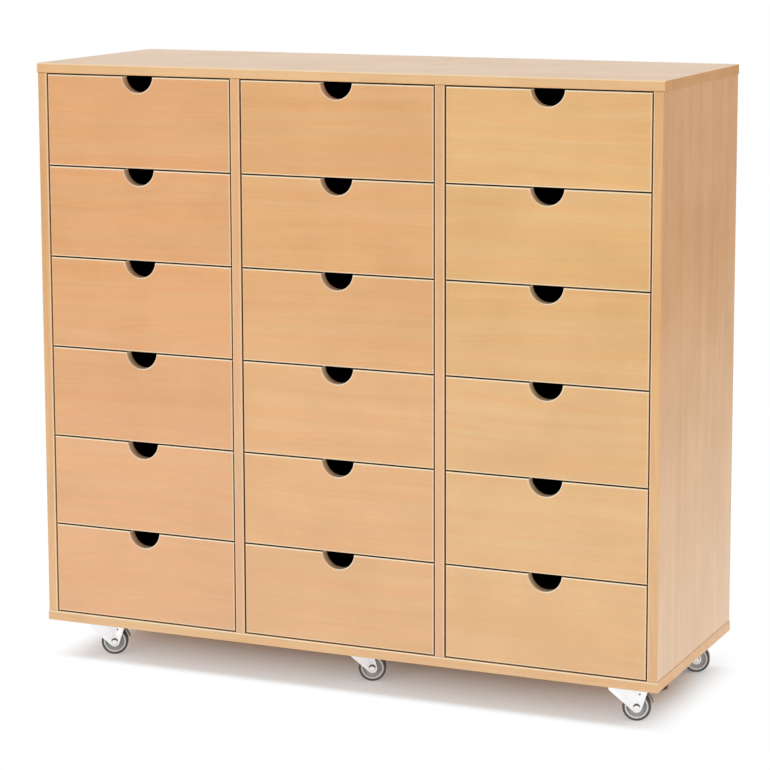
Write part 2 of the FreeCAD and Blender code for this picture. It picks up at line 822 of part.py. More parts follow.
def tyre():
    outer = wheel_diameter / 2
    inner = outer - tyre_thickness
    half = tyre_width / 2
    points = [(inner, -half), (outer - tyre_shoulder, -half), (outer, tyre_shoulder - half),
              (outer, half - tyre_shoulder), (outer - tyre_shoulder, half), (inner, half)]
    return turned(points, Y_AXIS)


def wheel_body():
    """The rim, web and hub in one piece, bored for the axle."""
    rim_outer = wheel_diameter / 2 - tyre_thickness
    rim_inner = rim_outer - rim_thickness
    hub = hub_diameter / 2
    hole = axle_diameter / 2 + axle_clearance
    rim, web, boss = rim_width / 2, web_width / 2, hub_width / 2
    far_side = [(hole, boss), (hub, boss), (hub, web), (rim_inner, web), (rim_inner, rim), (rim_outer, rim)]
    near_side = [(radius, -along) for radius, along in reversed(far_side)]
    return turned(far_side + near_side, Y_AXIS)


def caster_wheel(name):
    offset = vec(trail, 0, axle_z)
    return [set_caster(placed(shape, offset), name) for shape in (tyre(), wheel_body())]


# Brake pedals

def bar(start, end, thickness, width):
    """A straight sheet between two (x, z) points, laid about the caster's middle plane."""
    dx = end[0] - start[0]
    dz = end[1] - start[1]
    length = math.hypot(dx, dz)
    half_x = -dz / length * thickness / 2
    half_z = dx / length * thickness / 2
    points = [(start[0] - half_x, start[1] - half_z), (end[0] - half_x, end[1] - half_z),
              (end[0] + half_x, end[1] + half_z), (start[0] + half_x, start[1] + half_z)]
    return prism(polygon_edges(points), around(0, width))


def from_axle(radius, degrees):
    """The (x, z) of a point round the axle."""
    angle = math.radians(degrees)
    return (trail + radius * math.cos(angle), axle_z + radius * math.sin(angle))


def brake_shoe():
    """A curved plate that follows the tyre."""
    inner = wheel_diameter / 2 + shoe_clearance
    outer = inner + shoe_thickness
    middle = (shoe_low_angle + shoe_high_angle) / 2
    inner_points = [from_axle(inner, angle) for angle in (shoe_low_angle, middle, shoe_high_angle)]
    outer_points = [from_axle(outer, angle) for angle in (shoe_high_angle, middle, shoe_low_angle)]
    corners = [vec(x, 0, z) for x, z in inner_points + outer_points]
    edges = [Part.Arc(*corners[:3]).toShape(), Part.makeLine(corners[2], corners[3]),
             Part.Arc(*corners[3:]).toShape(), Part.makeLine(corners[5], corners[0])]
    return prism(edges, around(0, shoe_width))


def brake_pedal():
    """The pedal, its arm, its shoe and the barrel that turns on the pin, in one piece."""
    barrel_width = fork_inner_width - 2 * barrel_side_clearance
    barrel = rod(barrel_diameter, vec(pin_x, -barrel_width / 2, pin_z), Y_AXIS, barrel_width)
    foot_start = (trail + foot_start_offset, axle_z + foot_start_rise)
    foot_end = (trail + foot_end_offset, axle_z + foot_end_rise)
    foot_middle = ((foot_start[0] + foot_end[0]) / 2, (foot_start[1] + foot_end[1]) / 2)
    lip_end = (foot_end[0], foot_end[1] + foot_lip_height)
    shoe_middle_radius = wheel_diameter / 2 + shoe_clearance + shoe_thickness / 2
    shoe_end = from_axle(shoe_middle_radius, shoe_high_angle)
    pieces = [barrel, brake_shoe(),
              bar((pin_x, pin_z), shoe_end, pedal_sheet, shoe_width),
              bar((pin_x, pin_z), foot_middle, pedal_sheet, pedal_arm_width),
              bar(foot_start, foot_end, pedal_sheet, pedal_foot_width),
              bar(foot_end, lip_end, pedal_sheet, pedal_foot_width)]
    hole = bore(pin_diameter + 2 * pin_clearance, vec(pin_x, -barrel_width / 2, pin_z), Y_AXIS,
                barrel_width + cut_overrun)
    return joined(pieces).cut(hole)


# The whole unit

def main():
    os.makedirs("parts", exist_ok=True)
    save("top_panel", top_panel())
    save("bottom_panel", bottom_panel())
    upright_names = ["left_side_panel", "left_divider", "right_divider", "right_side_panel"]
    for index, name in enumerate(upright_names):
        save(name, upright(index))
    save("back_panel", back_panel())
    save("runner_strips", runner_strips())
    screws = runner_screws() + back_screws() + plate_screws()
    save("carcase_fasteners", carcase_dowels() + screws + upright_pegs())
    save("caster_plates", caster_plates())

    front = drawer_front()
    box = drawer_box()
    for column, column_name in enumerate(column_names):
        for row in range(row_count):
            offset = vec(column_centre_x(column), 0, row_base_z(row))
            drawer_name = column_name + "_drawer_" + str(row + 1)
            save(drawer_name + "_front", [placed(front, offset)])
            save(drawer_name + "_box", [placed(piece, offset) for piece in box])

    for name in caster_places():
        save(name + "_caster_fork", caster_fork(name))
        save(name + "_caster_wheel", caster_wheel(name))
        if name in braked_casters:
            save(name + "_brake_pedal", [set_caster(brake_pedal(), name)])


main()
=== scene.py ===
# %% [markdown]
# # A mobile drawer unit
# This lesson dresses a finished solid model: a wide cabinet of beech-faced board with eighteen drawers,
# standing on six swivel casters. The solids are loaded first and are never moved. Each one then gets a
# finish, and the small turned and pressed parts of the casters are modelled again with softer edges.

# %% Load the solid model
import json
import math
import random

import bmesh
import bpy
from mathutils import Matrix, Vector


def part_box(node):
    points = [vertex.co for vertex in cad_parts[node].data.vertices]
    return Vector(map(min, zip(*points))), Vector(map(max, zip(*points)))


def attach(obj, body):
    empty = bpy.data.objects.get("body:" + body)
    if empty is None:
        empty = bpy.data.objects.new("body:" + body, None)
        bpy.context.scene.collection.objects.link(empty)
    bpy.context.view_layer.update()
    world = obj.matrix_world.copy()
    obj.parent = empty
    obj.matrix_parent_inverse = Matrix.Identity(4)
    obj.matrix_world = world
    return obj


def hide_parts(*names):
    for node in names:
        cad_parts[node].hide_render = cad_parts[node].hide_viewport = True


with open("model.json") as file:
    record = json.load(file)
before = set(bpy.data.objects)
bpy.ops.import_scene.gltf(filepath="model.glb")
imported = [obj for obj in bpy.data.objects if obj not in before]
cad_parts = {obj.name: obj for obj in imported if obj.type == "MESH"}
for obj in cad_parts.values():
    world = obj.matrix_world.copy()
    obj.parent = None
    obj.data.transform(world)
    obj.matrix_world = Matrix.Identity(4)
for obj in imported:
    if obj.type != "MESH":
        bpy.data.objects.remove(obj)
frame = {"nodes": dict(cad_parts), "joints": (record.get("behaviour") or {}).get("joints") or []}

nodes = frame["nodes"]
joints = {joint["name"]: joint for joint in frame["joints"]}
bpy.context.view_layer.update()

# %% [markdown]
# ## The camera
# The photograph was taken from the right of the middle and a little above the top of the cabinet. The
# focal length is long, so the rows of drawers converge only gently. A lens shift lowers the frame and
# keeps the uprights nearly upright, as an architect's camera does: tilting the camera instead would make
# them lean together.

# %% Set the camera
camera_data = bpy.data.cameras.new("photo_camera")
camera = bpy.data.objects.new("photo_camera", camera_data)
bpy.context.scene.collection.objects.link(camera)
bpy.context.scene.camera = camera
camera_data.sensor_width = 36.0
camera_data.lens = 127.122
camera_data.shift_y = -0.12987
camera_data.clip_start = 0.1
camera_data.clip_end = 200.0
camera_spot = (1.978937, -4.508753, 1.455378)
camera_yaw = math.radians(23.7061)
camera_drop = math.radians(8.5736)
camera_roll = math.radians(0.1624)
camera_turn = Matrix.Rotation(camera_yaw, 4, "Z") @ Matrix.Rotation(math.pi / 2 - camera_drop, 4, "X")
camera.matrix_world = (Matrix.Translation(camera_spot) @ camera_turn
                       @ Matrix.Rotation(-camera_roll, 4, "Z"))
print("camera stands", round(camera.location.length, 2), "metres from the origin")

# %% [markdown]
# ## Small helpers for shader nodes
# A shader is a tree of nodes joined by links. Adding nodes by hand takes three or four lines each, so
# two short helpers add a node, set its options and connect its inputs in one call. An input is given
# either a value or the output of an earlier node. The others name the sums that come up again and again.

# %% Helpers for shader nodes
def put(socket, value):
    """Links an output to a socket, or writes a plain value into it."""
    if isinstance(value, bpy.types.NodeSocket):
        socket.id_data.links.new(value, socket)
    else:
        socket.default_value = value


def add(tree, kind, inputs=None, **options):
    """Adds a node. Inputs are given by name or by number."""
    made = tree.nodes.new("ShaderNode" + kind)
    for option, value in options.items():
        setattr(made, option, value)
    for key, value in (inputs or {}).items():
        put(made.inputs[key], value)
    return made


def calc(tree, operation, a, b=0.0, clamp=False):
    return add(tree, "Math", {0: a, 1: b}, operation=operation, use_clamp=clamp).outputs[0]


def times(tree, a, b):
    return calc(tree, "MULTIPLY", a, b)


def ramp(tree, value, low, high, out_low=0.0, out_high=1.0):
    """A straight ramp between two input values, held flat outside them."""
    names = {"Value": value, "From Min": low, "From Max": high, "To Min": out_low, "To Max": out_high}
    return add(tree, "MapRange", names).outputs[0]


def coordinate(tree, vector, axis):
    return add(tree, "SeparateXYZ", {0: vector}).outputs[axis]


def blend_colours(tree, factor, a, b, blend_type="MIX"):
    made = add(tree, "Mix", {0: factor, 6: a, 7: b}, data_type="RGBA", blend_type=blend_type)
    return made.outputs[2]


def tinted(tree, colour, tint):
    return blend_colours(tree, 1.0, colour, tint, blend_type="MULTIPLY")


# %% [markdown]
# ## Noise
# Nearly every finish starts as noise, a soft random pattern. Its coordinates are scaled first, so that
# it can be fine one way and long the other. Most of its values lie in a narrow band about a half, and a
# ramp over that band spreads them out to the full range.

# %% Helpers for noise
noise_low, noise_high = 0.3, 0.7


def noise(tree, vector, scale, detail, roughness=0.5):
    """Noise with about that many patches to a metre along each axis."""
    squeezed = add(tree, "Mapping", {"Vector": vector, "Scale": scale}).outputs[0]
    inputs = {"Vector": squeezed, "Scale": 1.0, "Detail": detail, "Roughness": roughness}
    return add(tree, "TexNoise", inputs).outputs[0]


def even_noise(tree, vector, scale, detail, roughness=0.5):
    return noise(tree, vector, (scale,) * 3, detail, roughness)


def spread(tree, pattern, out_low=0.0, out_high=1.0):
    return ramp(tree, pattern, noise_low, noise_high, out_low, out_high)


# %% [markdown]
# ## Groups and materials
# An effect that several finishes share is a node group: it is built once, and each material places it
# with values of its own. Every material has one Principled shader, and gets its colour, its roughness
# and a fine bump in the same way.

# %% Helpers for groups and materials
def new_group(name, inputs, outputs):
    """A node group with named sockets. Each is given as its name and its kind."""
    kinds = {"vector": "NodeSocketVector", "colour": "NodeSocketColor", "value": "NodeSocketFloat"}
    tree = bpy.data.node_groups.new(name, "ShaderNodeTree")
    for socket, kind in inputs.items():
        tree.interface.new_socket(socket, in_out="INPUT", socket_type=kinds[kind])
    for socket, kind in outputs.items():
        tree.interface.new_socket(socket, in_out="OUTPUT", socket_type=kinds[kind])
    return tree, tree.nodes.new("NodeGroupInput").outputs, tree.nodes.new("NodeGroupOutput").inputs


def use_group(tree, group, inputs):
    made = tree.nodes.new("ShaderNodeGroup")
    made.node_tree = group
    for key, value in inputs.items():
        put(made.inputs[key], value)
    return made.outputs


def new_material(name, **settings):
    """A material with one Principled shader. The settings are the shader's own inputs."""
    material = bpy.data.materials.new(name)
    material.use_nodes = True
    tree = material.node_tree
    shader = tree.nodes["Principled BSDF"]
    for key, value in settings.items():
        shader.inputs[key.replace("_", " ")].default_value = value
    place = add(tree, "TexCoord").outputs["Object"]
    return material, tree, shader, place


def set_surface(tree, shader, colour, roughness, height, bump_strength, bump_distance):
    bump = add(tree, "Bump", {"Height": height, "Strength": bump_strength, "Distance": bump_distance})
    put(shader.inputs["Base Color"], colour)
    put(shader.inputs["Roughness"], roughness)
    put(shader.inputs["Normal"], bump.outputs[0])


def linked_to(shader, name):
    """What already feeds one of the shader's inputs."""
    return shader.inputs[name].links[0].from_socket


def srgb(red, green, blue):
    """A colour as it is read on the screen, 0 to 255, made linear for the shader."""
    def linear(level):
        level /= 255
        return level / 12.92 if level <= 0.04045 else ((level + 0.055) / 1.055) ** 2.4
    return (linear(red), linear(green), linear(blue), 1.0)


# %% [markdown]
# ## Beech grain
# The boards are faced with a printed beech foil. Beech has no strong rings: it shows soft bands, fine
# fibres and many short darker flecks, all along the board. Each is a noise texture squeezed hard across
# the grain. They are built once as a group, in metres, with the grain along X, and every board then
# turns and shifts the pattern for itself.

# %% Make the beech grain group
# Each layer's patches to a metre along the grain and across it, its detail and its roughness
grain_layers = {"sway": (1.6, 5.0, 1.0, 0.5),
                "bands": (1.3, 38.0, 3.0, 0.55),
                "streaks": (3.5, 230.0, 3.0, 0.6),
                "clouds": (4.0, 9.0, 2.0, 0.5),
                "fibres": (30.0, 1300.0, 2.0, 0.5),
                "flecks": (130.0, 1500.0, 1.0, 0.5),
                "hues": (0.9, 62.0, 2.0, 0.6)}
tone_shares = {"bands": 0.42, "streaks": 0.32, "clouds": 0.14, "fibres": 0.12}
sway_y, sway_z = 0.05, 0.07
middle_tone = 0.5
warm_tint = (1.02, 0.965, 0.93, 1.0)
hue_low, hue_high = 0.42, 0.62
fleck_low, fleck_high, fleck_amount, fleck_sink = 0.66, 0.78, 0.3, 0.6
grain_smooth, grain_rough = 0.36, 0.46


def make_beech_group():
    tree, given, out = new_group(
        "beech_grain",
        {"Vector": "vector", "Pale": "colour", "Deep": "colour", "Fleck": "colour", "Strength": "value"},
        {"Color": "colour", "Roughness": "value", "Height": "value"})

    def layer(name, source):
        along, across, detail, roughness = grain_layers[name]
        return noise(tree, source, (along, across, across), detail, roughness)

    straight = given["Vector"]
    sway = layer("sway", straight)
    offset = add(tree, "CombineXYZ", {1: times(tree, sway, sway_y), 2: times(tree, sway, sway_z)})
    bent = add(tree, "VectorMath", {0: straight, 1: offset.outputs[0]}, operation="ADD").outputs[0]
    layers = {name: layer(name, bent) for name in ("bands", "streaks", "hues")}
    layers.update({name: layer(name, straight) for name in ("clouds", "fibres", "flecks")})

    tone = 0.0
    for name, share in tone_shares.items():
        tone = calc(tree, "ADD", tone, times(tree, spread(tree, layers[name]), share))
    contrast = times(tree, calc(tree, "SUBTRACT", tone, middle_tone), given["Strength"])
    tone = calc(tree, "ADD", contrast, middle_tone, clamp=True)
    colour = blend_colours(tree, tone, given["Deep"], given["Pale"])
    hue_mask = ramp(tree, layers["hues"], hue_low, hue_high)
    hue_mask = calc(tree, "MULTIPLY", hue_mask, given["Strength"], clamp=True)
    colour = blend_colours(tree, hue_mask, colour, tinted(tree, colour, warm_tint))
    fleck_mask = times(tree, ramp(tree, layers["flecks"], fleck_low, fleck_high), fleck_amount)

    put(out["Color"], blend_colours(tree, fleck_mask, colour, given["Fleck"]))
    put(out["Roughness"], spread(tree, layers["streaks"], grain_smooth, grain_rough))
    put(out["Height"], calc(tree, "SUBTRACT", layers["fibres"], times(tree, fleck_mask, fleck_sink)))
    return tree


beech_grain = make_beech_group()
print("beech group holds", len(beech_grain.nodes), "nodes")

# %% [markdown]
# ## Edge line
# Every board edge is covered by a thin edging strip whose corners are rounded, and that rounding catches
# the light as a fine pale line beside each gap: a painted highlight, partly also a paler edging. It
# could be modelled as a separate strip, but it is only 2 mm wide and lies flush, so a mask does: it
# measures how far a point lies from the board's top, bottom and side edges. Faces that point straight
# at an edge are left out, or the whole end of the board would turn pale.

# %% Make the edge line group
line_softness = 0.0003
turned_low, turned_high = 0.9, 0.97


def make_edge_group():
    tree, given, out = new_group(
        "edge_line",
        {"Vector": "vector", "Normal": "vector", "Half Size": "vector", "Width": "value"},
        {"Top": "value", "Bottom": "value", "Left": "value", "Right": "value"})
    sides = {"Top": ("SUBTRACT", "Z"), "Bottom": ("ADD", "Z"),
             "Left": ("ADD", "X"), "Right": ("SUBTRACT", "X")}
    for edge, (operation, axis) in sides.items():
        half, place, normal = (coordinate(tree, given[name], axis)
                               for name in ("Half Size", "Vector", "Normal"))
        inside = calc(tree, operation, half, place)
        past_line = calc(tree, "SUBTRACT", inside, given["Width"])
        line = ramp(tree, past_line, -line_softness, line_softness, 1.0, 0.0)
        turned_away = ramp(tree, calc(tree, "ABSOLUTE", normal), turned_low, turned_high, 1.0, 0.0)
        put(out[edge], times(tree, line, turned_away))
    return tree


edge_line = make_edge_group()
print("edge group holds", len(edge_line.nodes), "nodes")

# %% [markdown]
# ## Handling and dust
# A school cabinet is touched every day and wiped now and then. Broad soft patches change how glossy it
# is, and the colour dulls very slightly in the same patches. One group serves the boards, the drawer
# boxes, the rubber, the plastic and the paint. The bright plate has smears of its own instead.

# %% Make the handling group
handling_scale = 7.0
handling_low, handling_high = 0.42, 0.62
handled_tint = (0.9, 0.89, 0.87, 1.0)
handled_roughness = 0.12


def make_handling_group():
    tree, given, out = new_group(
        "handling", {"Vector": "vector", "Color": "colour", "Roughness": "value", "Amount": "value"},
        {"Color": "colour", "Roughness": "value"})
    patches = even_noise(tree, given["Vector"], handling_scale, 4.0, 0.6)
    mask = times(tree, ramp(tree, patches, handling_low, handling_high), given["Amount"])
    dulled = tinted(tree, given["Color"], handled_tint)
    put(out["Color"], blend_colours(tree, mask, given["Color"], dulled))
    put(out["Roughness"], calc(tree, "ADD", given["Roughness"], times(tree, mask, handled_roughness)))
    return tree


handling = make_handling_group()
print("handling group holds", len(handling.nodes), "nodes")


def handled(tree, place, colour, roughness, amount):
    """A colour and a roughness after handling."""
    worn = use_group(tree, handling, {"Vector": place, "Color": colour, "Roughness": roughness,
                                      "Amount": amount})
    return worn["Color"], worn["Roughness"]


# %% [markdown]
# ## Board finishes
# Each board is a material of its own, so that its grain starts at another place and its tone differs a
# little from its neighbour's, as boards cut from different sheets do. The grain turns with the board:
# it runs along X on the fronts, the top and the bottom, and along Z on the sides, the dividers and the
# back. The satin laminate has a low specular level.

# %% Write the board finish
fleck_tone = srgb(186, 128, 86)
grain_turns = {"X": (0.0, 0.0, 0.0), "Y": (0.0, 0.0, -math.pi / 2), "Z": (0.0, math.pi / 2, 0.0)}
grain_shift = 20.0
board_handling = 0.5
grain_bump, fine_relief = 0.08, 0.0002
satin = {"Specular_IOR_Level": 0.2}
draw = random.Random(18)


def grain_vector(tree, place, along):
    """Object coordinates turned so that the grain runs along X, and shifted at random."""
    shift = tuple(draw.uniform(-grain_shift, grain_shift) for _ in range(3))
    inputs = {"Vector": place, "Rotation": grain_turns[along], "Location": shift}
    return add(tree, "Mapping", inputs, vector_type="POINT").outputs[0]


def beech_board(name, along, tones, strength=1.0, **settings):
    """A beech-faced board's material, its tree, its shader and its coordinates."""
    material, tree, shader, place = new_material(name, **settings)
    grain = use_group(tree, beech_grain, {"Vector": grain_vector(tree, place, along), "Pale": tones[0],
                                          "Deep": tones[1], "Fleck": fleck_tone, "Strength": strength})
    worn = handled(tree, place, grain["Color"], grain["Roughness"], board_handling)
    set_surface(tree, shader, *worn, grain["Height"], grain_bump, fine_relief)
    return material, tree, shader, place


def dress(node, material):
    """Gives a solid node one material in place of its own."""
    mesh = nodes[node].data
    mesh.materials.clear()
    mesh.materials.append(material)


# %% [markdown]
# ## Polish, edge lines and tints
# Some faces shine more than others. A clear coat does that: the uprights and the fronts have one that
# grows towards the floor. The edge lines, pale painted highlights or dark joints, are measured from the
# board's own box and laid over the grain.
# Some faces also have a tint, which is multiplied over the grain so that the streaks run through it.

# %% Helpers for polish, edges and tints
# The pale edge lines are painted highlights of the rounded edging, partly also a paler edging.
edging_highlight_tone, edging_highlight_width = srgb(255, 240, 208), 0.0022
low_polish_z, no_polish_z = 0.1, 0.75
low_polish_roughness, low_polish_ior = 0.35, 1.8
facing_low, facing_high = 0.5, 0.95


def polish(shader, weight, roughness, ior):
    """A clear coat that covers only a part of the surface."""
    put(shader.inputs["Coat Weight"], weight)
    shader.inputs["Coat Roughness"].default_value = roughness
    shader.inputs["Coat IOR"].default_value = ior


def polish_low_part(tree, shader, place):
    """A polish that grows from nothing higher up to its full amount near the floor."""
    weight = ramp(tree, coordinate(tree, place, "Z"), low_polish_z, no_polish_z, 1.0, 0.0)
    polish(shader, weight, low_polish_roughness, low_polish_ior)


def from_middle(tree, place, node):
    """Coordinates from the middle of a node's box, and half of the box's size."""
    low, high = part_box(node)
    local = add(tree, "Mapping", {"Vector": place, "Location": tuple(-(low + high) / 2)}).outputs[0]
    return local, (high - low) / 2


def draw_edges(tree, shader, place, node, amounts, tone=edging_highlight_tone, width=edging_highlight_width):
    """Lays the edge lines of a node's box over a material's colour, by default as pale painted
    highlights.
    """
    local, half = from_middle(tree, place, node)
    normal = add(tree, "TexCoord").outputs["Normal"]
    edge = use_group(tree, edge_line, {"Vector": local, "Normal": normal, "Half Size": tuple(half),
                                       "Width": width})
    colour = linked_to(shader, "Base Color")
    for name, amount in amounts.items():
        colour = blend_colours(tree, times(tree, edge[name], amount), colour, tone)
    put(shader.inputs["Base Color"], colour)


def facing(tree, axis):
    """A mask of the faces that point along one axis, either way."""
    normal = coordinate(tree, add(tree, "TexCoord").outputs["Normal"], axis)
    return ramp(tree, calc(tree, "ABSOLUTE", normal), facing_low, facing_high)


def repaint(tree, shader, mask, tint):
    """Multiplies the material's colour by a tint where the mask is white."""
    colour = linked_to(shader, "Base Color")
    put(shader.inputs["Base Color"], blend_colours(tree, mask, colour, tinted(tree, colour, tint)))


# %% [markdown]
# ## Top and bottom
# Both show the grain across. The edging band along the front is paler than the face behind it, and the
# top's ends are darker and warmer. The top's flat faces have a polish, because lamplight glances off the
# upper one.

# %% Finish the top and the bottom
panel_tones = srgb(242, 198, 146), srgb(228, 176, 122)
top_tones = srgb(221, 185, 144), srgb(207, 171, 130)
top_front_tint = (1.22, 1.17, 1.04, 1.0)
top_end_tint = (0.89, 0.65, 0.355, 1.0)
bottom_front_tint = (0.98, 1.08, 1.19, 1.0)
top_line, bottom_line = 0.5, 0.9
top_polish, top_polish_roughness, top_polish_ior = 0.57, 0.4, 1.65


def finish_panel(node, tones, line, front_tint, end_tint=None, **settings):
    """The front band is always tinted. With a tint for the ends, the flat faces are polished too."""
    material, tree, shader, place = beech_board("beech_" + node, "X", tones, **settings)
    repaint(tree, shader, facing(tree, "Y"), front_tint)
    if end_tint:
        repaint(tree, shader, facing(tree, "X"), end_tint)
        polish(shader, times(tree, facing(tree, "Z"), top_polish), top_polish_roughness, top_polish_ior)
    # A pale painted highlight along each face's upper edge, kept off the ends.
    draw_edges(tree, shader, place, node, {"Top": ramp(tree, facing(tree, "X"), 0.0, 1.0, line, 0.0)})
    dress(node, material)


finish_panel("top_panel", top_tones, top_line, top_front_tint, top_end_tint, **satin)
finish_panel("bottom_panel", panel_tones, bottom_line, bottom_front_tint)
print("finished the top and the bottom")

# %% [markdown]
# ## Sides and dividers
# The uprights show the grain upright. The side panels look pinker than the fronts, with bolder streaks,
# and they get painted light from the white floor, which makes them paler and cooler towards it. The
# dividers keep one tone, but just behind their front edge they darken, because the narrow gaps beside
# the drawers take little light. A thin dark line marks the joint with the top and the bottom.

# %% Finish the sides and the dividers
upright_tones = srgb(235, 189, 139), srgb(223, 171, 126)
side_tones = srgb(217, 168, 114), srgb(201, 149, 98)
side_front_tint = (1.2, 1.32, 1.42, 1.0)
# Painted floor light: the side faces grow paler and cooler towards the floor.
side_floor_light = (1.22, 1.39, 1.58, 1.0)
floor_light_start_z, floor_light_full_z = 0.86, 0.2
side_streaks = 1.4
joint_edges, joint_tone, joint_width = {"Top": 0.6, "Bottom": 0.4}, srgb(158, 112, 76), 0.001
gap_shadow = (0.45, 0.37, 0.3, 1.0)
shadow_starts, shadow_ends = (0.0008, 0.0016), (0.008, 0.014)


def finish_upright(node, tones, edges, strength=1.0, floor_lit=False):
    material, tree, shader, place = beech_board("beech_" + node, "Z", tones, strength, **satin)
    polish_low_part(tree, shader, place)
    if floor_lit:
        # Painted light from the floor, on the side faces only.
        low_part = ramp(tree, coordinate(tree, place, "Z"), floor_light_start_z, floor_light_full_z)
        repaint(tree, shader, times(tree, low_part, facing(tree, "X")), side_floor_light)
        repaint(tree, shader, facing(tree, "Y"), side_front_tint)
    # Pale painted highlights along the upright's front edges; the joint lines below are dark joints.
    draw_edges(tree, shader, place, node, edges)
    draw_edges(tree, shader, place, node, joint_edges, joint_tone, joint_width)
    if not floor_lit:
        depth = calc(tree, "SUBTRACT", coordinate(tree, place, "Y"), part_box(node)[0].y)
        beside_front = times(tree, ramp(tree, depth, *shadow_starts),
                             ramp(tree, depth, *shadow_ends, 1.0, 0.0))
        repaint(tree, shader, times(tree, beside_front, facing(tree, "X")), gap_shadow)
    dress(node, material)


finish_upright("left_side_panel", side_tones, {"Right": 0.5}, side_streaks, floor_lit=True)
finish_upright("right_side_panel", side_tones, {"Left": 0.5}, side_streaks, floor_lit=True)
for node in ("left_divider", "right_divider"):
    finish_upright(node, upright_tones, {"Left": 0.4, "Right": 0.4})
print("finished four uprights")

# %% [markdown]
# ## Back and runners
# Neither shows in the photograph. The back is taken to be of the same board as the sides, with its grain
# upright, and the runners to be plain hardwood strips, with their grain from front to back.

# %% Finish the back and the runners
runner_tones = srgb(214, 170, 124), srgb(176, 126, 84)
dress("back_panel", beech_board("beech_back_panel", "Z", side_tones)[0])
dress("runner_strips", beech_board("hardwood_runner_strips", "Y", runner_tones)[0])
print("finished the back and the runners")

# %% [markdown]
# ## Drawer fronts
# A front is a board with a half-round notch. Besides the grain, a pale line shows all round, most of
# all along the top: a painted highlight on the rounded edging, partly also a paler edging. The notch has
# a painted highlight on its rim, weaker on its left and deeper inside, where less light falls. Behind the
# rounding, the board's edges lie in the narrow gaps, which get painted shade, but the notch's wall is
# left out of it. All of it is measured from the middle of the front, or from the notch's centre above it.

# %% Finish the drawer fronts
columns = ("left", "middle", "right")
rows = range(1, 7)
notch_radius = 0.031
notch_centre_rise = 0.002
front_tones = {"left": (srgb(236, 184, 132), srgb(224, 166, 114)),
               "middle": (srgb(236, 188, 134), srgb(224, 170, 114)),
               "right": (srgb(236, 194, 138), srgb(226, 176, 116))}
tint_spread = 0.02
# Pale painted highlights along each edge of a front, partly also a paler edging.
front_edge_highlights = {"Top": 0.95, "Bottom": 0.6, "Left": 0.3, "Right": 0.5}
# Painted shade on the board's edges inside the gaps, left off the notch's wall.
gap_shade_tint, gap_shade_depths, unshaded_notch_wall = (0.2, 0.16, 0.12, 1.0), (0.0012, 0.0022), (0.0008, 0.0016)
# A painted highlight on the notch's rim.
notch_rim_highlight = srgb(255, 243, 220)
rim_band, rim_highlight_amount = (0.0015, 0.0022), 0.85
rim_depths, rim_deep_share = (0.004, 0.015), 0.3
rim_sides, rim_left_share = (-0.016, 0.008), 0.42
sheen_band, sheen = (0.0, 0.05), 0.07


def past_notch(tree, from_notch, band, out_low=0.0, out_high=1.0):
    """A ramp across a band of distances outside the notch's wall."""
    return ramp(tree, from_notch, notch_radius + band[0], notch_radius + band[1], out_low, out_high)


def finish_front(node, tones):
    material, tree, shader, place = beech_board("beech_" + node, "X", tones, **satin)
    polish_low_part(tree, shader, place)
    local, half = from_middle(tree, place, node)
    parts = add(tree, "SeparateXYZ", {0: local}).outputs
    notch_up = calc(tree, "SUBTRACT", parts["Z"], half.z + notch_centre_rise)
    from_notch = calc(tree, "SQRT", calc(tree, "ADD", times(tree, notch_up, notch_up),
                                         times(tree, parts["X"], parts["X"])))
    depth = calc(tree, "ADD", parts["Y"], half.y)
    # Painted shade in the gaps between the fronts.
    in_gap = times(tree, ramp(tree, depth, *gap_shade_depths), past_notch(tree, from_notch, unshaded_notch_wall))
    repaint(tree, shader, in_gap, gap_shade_tint)
    draw_edges(tree, shader, place, node, front_edge_highlights)
    # The painted highlight on the notch's rim, weaker deeper in and on its left.
    rim = times(tree, past_notch(tree, from_notch, rim_band, rim_highlight_amount, 0.0),
                ramp(tree, depth, *rim_depths, 1.0, rim_deep_share))
    rim = times(tree, rim, ramp(tree, parts["X"], *rim_sides, rim_left_share, 1.0))
    put(shader.inputs["Base Color"],
        blend_colours(tree, rim, linked_to(shader, "Base Color"), notch_rim_highlight))
    smoother = past_notch(tree, from_notch, sheen_band, sheen, 0.0)
    put(shader.inputs["Roughness"], calc(tree, "SUBTRACT", linked_to(shader, "Roughness"), smoother))
    dress(node, material)


for column in columns:
    for row in rows:
        tint = 1 + draw.uniform(-tint_spread, tint_spread)
        tones = [tuple(min(1.0, part * tint) for part in tone[:3]) + (1.0,)
                 for tone in front_tones[column]]
        finish_front(f"{column}_drawer_{row}_front", tones)
print("finished", len(columns) * len(rows), "drawer fronts")

# %% [markdown]
# ## Drawer boxes
# Through the notches the drawers look nearly black, so the boxes are taken to be of charcoal board. Such
# a board has a fine even speckle, and the faces that point up get a little painted light.

# %% Finish the drawer boxes
charcoal_tones = srgb(68, 73, 80), srgb(90, 95, 102)
# Painted light on the faces that point up.
charcoal_top_light, top_light_share = srgb(116, 117, 118), 0.35
speckle_scale, speckle_band, speckle_share = 900.0, (0.35, 0.65), 0.35
mottle_scale, mottle_share = 14.0, 0.4
upward_band = (0.8, 0.95)
charcoal_roughness, charcoal_bump = 0.5, 0.12


